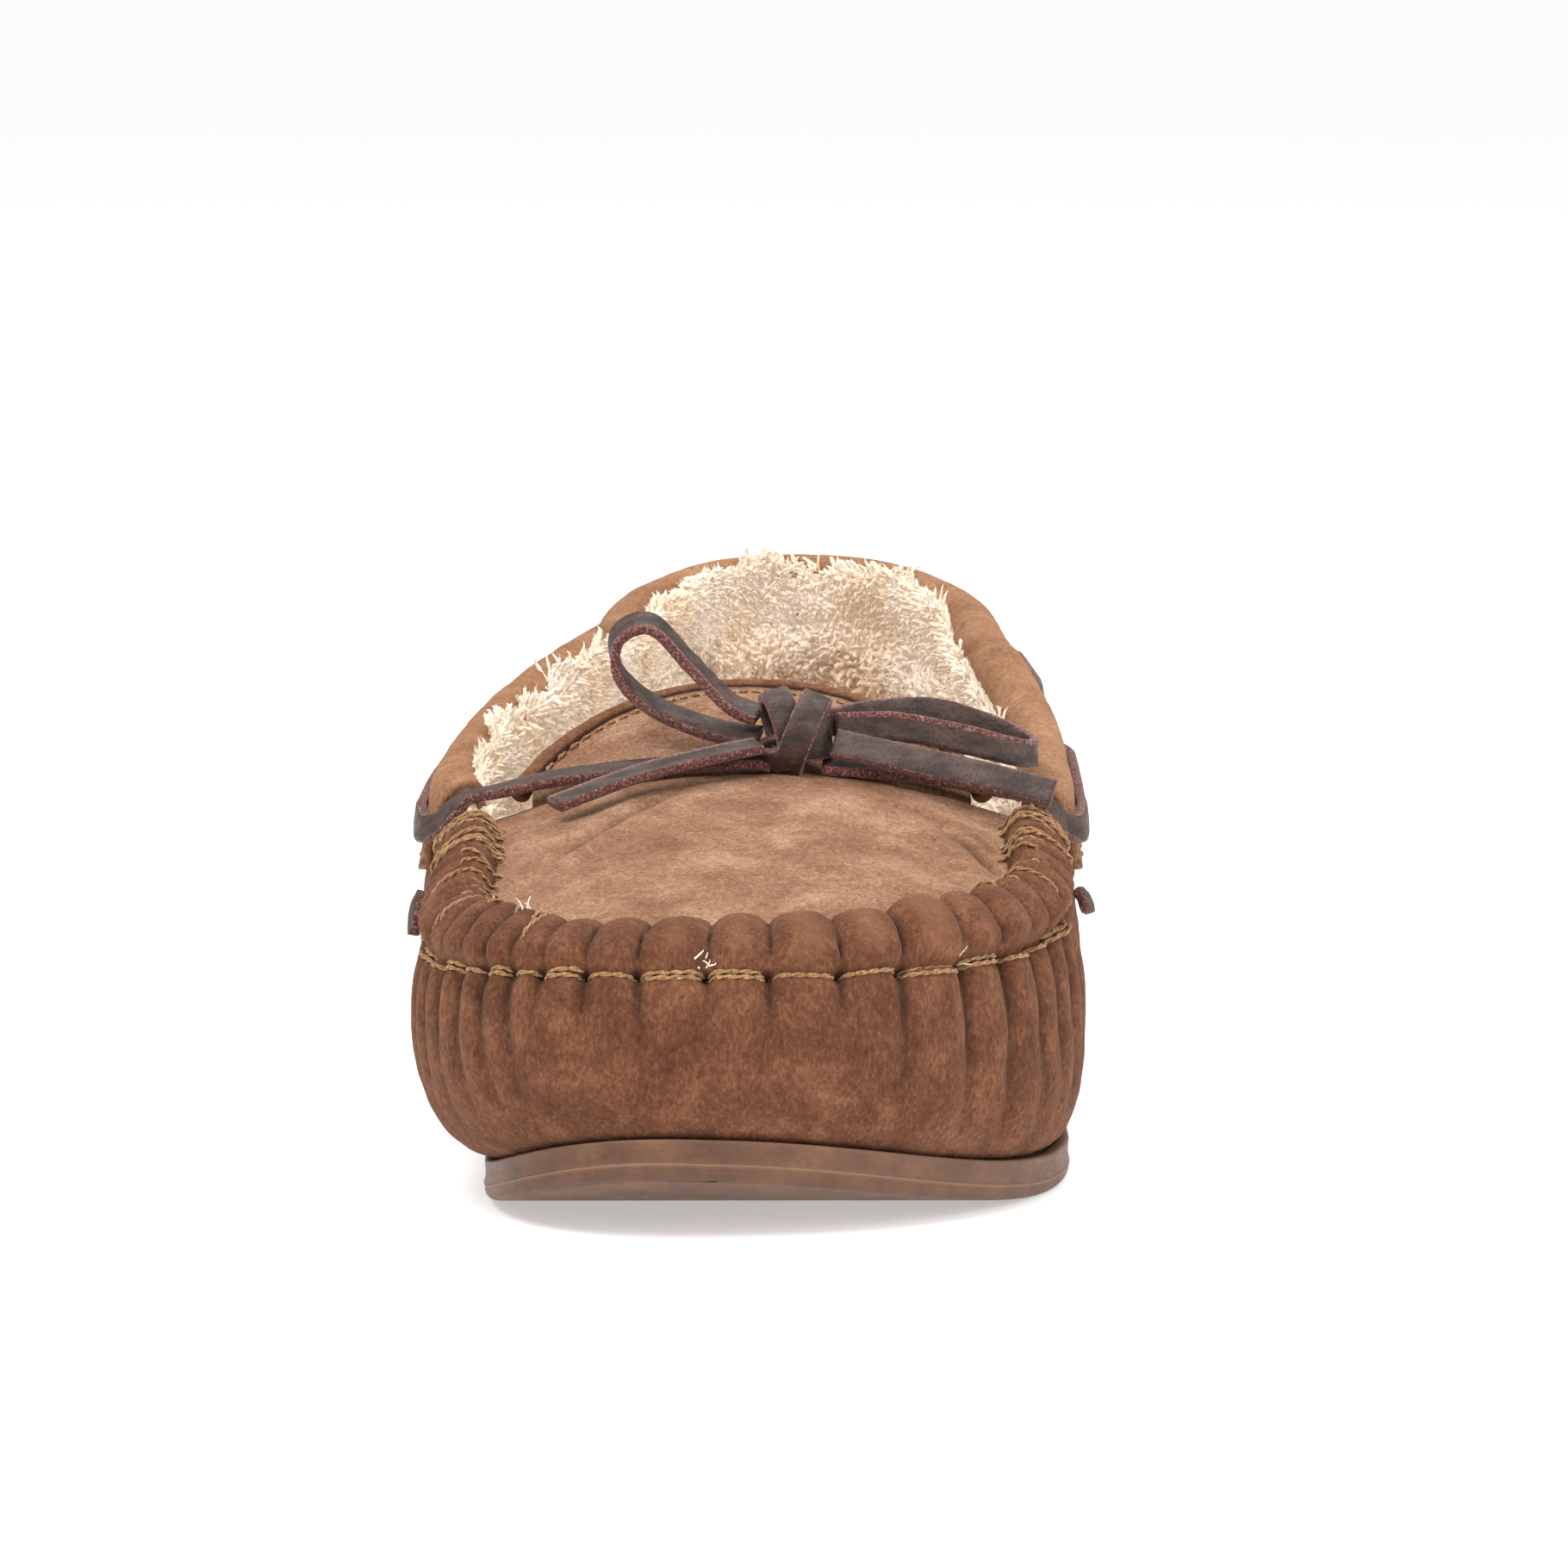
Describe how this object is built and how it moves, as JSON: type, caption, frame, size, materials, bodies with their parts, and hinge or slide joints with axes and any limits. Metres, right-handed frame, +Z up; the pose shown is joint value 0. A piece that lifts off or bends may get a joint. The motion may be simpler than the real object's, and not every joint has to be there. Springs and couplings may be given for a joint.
{
  "type": "moccasin slipper",
  "caption": "Left moccasin slipper: gathered suede upper with shearling lining, folded collar with a threaded leather lace tied in a bow, and a moulded rubber sole.",
  "frame": {"origin": "on the floor, under the middle of the shoe", "axes": "+Z up, toe towards -Y, heel towards +Y, medial (big toe) side towards -X"},
  "size_m": [0.1087, 0.2509, 0.0815],
  "materials": {
    "sole_rubber": "moulded, slight shine",
    "filler_felt": "pressed felt",
    "fibre_board": "matt fibre board",
    "foam": "open foam",
    "shearling": "wool pile",
    "wrap_suede": "napped suede",
    "plug_suede": "napped suede",
    "cuff_suede": "napped suede",
    "counter_board": "stiffened fibre",
    "thread": "waxed twisted thread",
    "lace_leather": "smooth grain, raw edges"
  },
  "bodies": {
    "shoe": {"outsole": "sole_rubber", "bottom_filler": "filler_felt", "insole_board": "fibre_board", "footbed_foam": "foam", "footbed_shearling": "shearling", "vamp_wrap": "wrap_suede", "plug": "plug_suede", "plug_lining": "shearling", "wall_lining_medial": "shearling", "wall_lining_lateral": "shearling", "heel_counter": "counter_board", "backstay": "wrap_suede", "collar_cuff_medial": "cuff_suede", "collar_cuff_lateral": "cuff_suede", "seam_stitches": "thread", "corner_stitches_medial": "thread", "corner_stitches_lateral": "thread", "cuff_stitches_medial": "thread", "cuff_stitches_lateral": "thread", "backstay_stitches": "thread", "collar_lace": "lace_leather", "bow_knot": "lace_leather", "lace_end_medial": "lace_leather", "lace_end_lateral": "lace_leather"},
    "tongue": {"tongue": "plug_suede", "tongue_binding": "cuff_suede", "tongue_lining": "shearling", "tongue_stitches": "thread"},
    "bow_loop_medial": {"bow_loop_medial": "lace_leather"},
    "bow_loop_lateral": {"bow_loop_lateral": "lace_leather"},
    "bow_tail_medial": {"bow_tail_medial": "lace_leather"},
    "bow_tail_lateral": {"bow_tail_lateral": "lace_leather"}
  },
  "joints": [
    {"name": "tongue_hinge", "type": "hinge", "parent": "shoe", "child": "tongue", "pos_m": [0, -0.0294, 0.0485], "axis": [1, 0, 0], "range_deg": [-14, 0], "stiffness_Nm_per_rad": 0.03, "springref_deg": 8.59},
    {"name": "bow_loop_medial_lift", "type": "hinge", "parent": "shoe", "child": "bow_loop_medial", "pos_m": [0.0069, -0.0295, 0.06357], "axis": [0, 1, 0], "range_deg": [0, 25]},
    {"name": "bow_loop_lateral_lift", "type": "hinge", "parent": "shoe", "child": "bow_loop_lateral", "pos_m": [0.0069, -0.0295, 0.06357], "axis": [0, -1, 0], "range_deg": [0, 25]},
    {"name": "bow_tail_medial_lift", "type": "hinge", "parent": "shoe", "child": "bow_tail_medial", "pos_m": [0.0069, -0.0295, 0.06357], "axis": [0, 1, 0], "range_deg": [0, 30]},
    {"name": "bow_tail_lateral_lift", "type": "hinge", "parent": "shoe", "child": "bow_tail_lateral", "pos_m": [0.0069, -0.0295, 0.06357], "axis": [0, -1, 0], "range_deg": [0, 30]}
  ]
}
